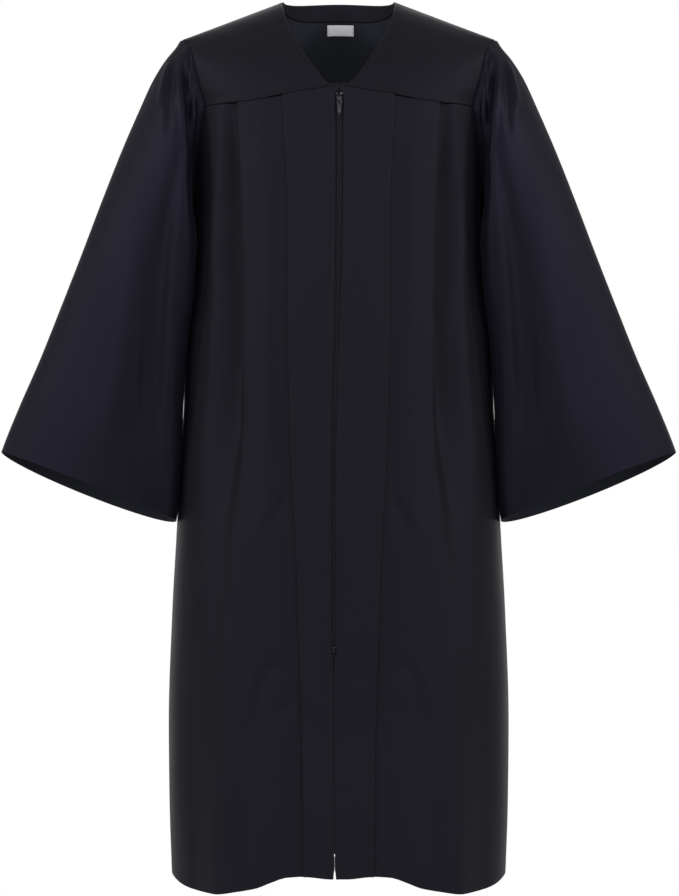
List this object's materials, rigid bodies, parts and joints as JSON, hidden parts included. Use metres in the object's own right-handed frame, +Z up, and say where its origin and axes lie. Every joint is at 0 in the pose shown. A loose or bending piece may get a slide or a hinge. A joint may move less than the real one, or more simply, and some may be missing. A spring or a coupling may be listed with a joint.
{
  "type": "graduation gown, filled out with no wearer",
  "caption": "Full-length graduation gown with wide bell sleeves, a V neck, a yoke, pleated zip front and gathered back, open and hollow as if worn.",
  "frame": {"origin": "midway between the neck ends of the two shoulder seams, where the wearer's shoulders carry the gown", "axes": "+Z up along the gown's length, -Y towards the front with the zip, +X towards the wearer's left sleeve"},
  "size_m": [0.865, 0.3079, 1.132],
  "materials": {
    "gown_cloth": "black woven polyester with a soft sheen",
    "label_cloth": "white woven satin label, bare",
    "zip_tape": "black woven tape with a nylon coil",
    "zip_metal": "black enamelled, glossy"
  },
  "bodies": {
    "gown": {"front_left": "gown_cloth", "front_right": "gown_cloth", "yoke_front_left": "gown_cloth", "yoke_front_right": "gown_cloth", "yoke_back": "gown_cloth", "back_panel": "gown_cloth", "sleeve_left": "gown_cloth", "sleeve_right": "gown_cloth", "back_neck_band": "gown_cloth", "label": "label_cloth", "zip_tape_left": "zip_tape", "zip_tape_right": "zip_tape", "zip_slider": "zip_metal", "zip_top_stop_left": "zip_metal", "zip_top_stop_right": "zip_metal", "zip_bottom_stop": "zip_metal"},
    "pull_tab": {"zip_pull": "zip_metal"}
  },
  "joints": [
    {"name": "pull_tab_swing", "type": "hinge", "parent": "gown", "child": "pull_tab", "pos_m": [0.0008, -0.11017, -0.13676], "axis": [-1, 0, 0], "range_deg": [0, 170]}
  ]
}
